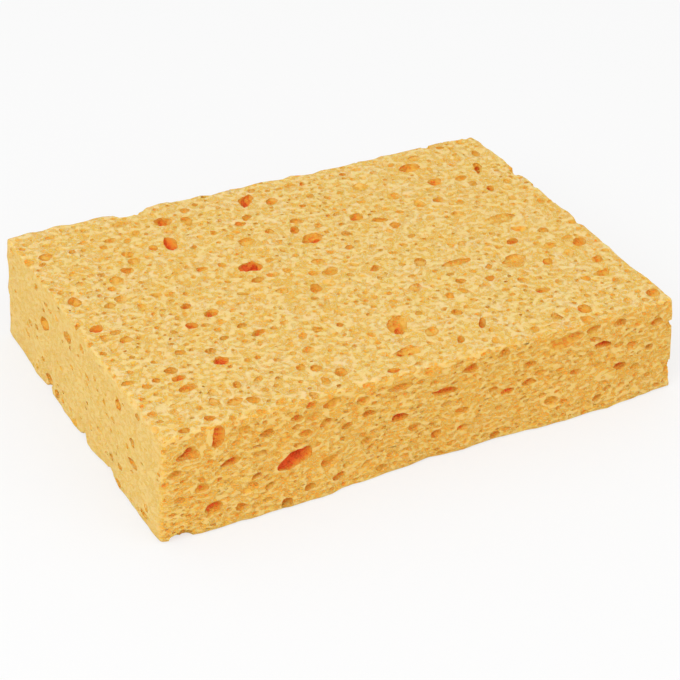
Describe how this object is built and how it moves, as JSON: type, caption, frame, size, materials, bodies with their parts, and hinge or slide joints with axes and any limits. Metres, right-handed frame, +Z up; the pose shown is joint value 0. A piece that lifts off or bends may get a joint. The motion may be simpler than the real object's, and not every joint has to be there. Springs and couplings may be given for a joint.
{
  "type": "cleaning sponge",
  "caption": "Rectangular household cleaning sponge: one block of yellow foamed cellulose with open pores on every face and slightly crumbled cut edges.",
  "frame": {"origin": "middle of the block's bounding box, on the flat base", "axes": "+X along the length, +Y from front to back, +Z up through the height"},
  "size_m": [0.1542, 0.1093, 0.029],
  "materials": {
    "cellulose_sponge": "dry open-cell cellulose, matt, golden yellow with orange pores"
  },
  "bodies": {
    "root": {"sponge": "cellulose_sponge"}
  },
  "joints": []
}
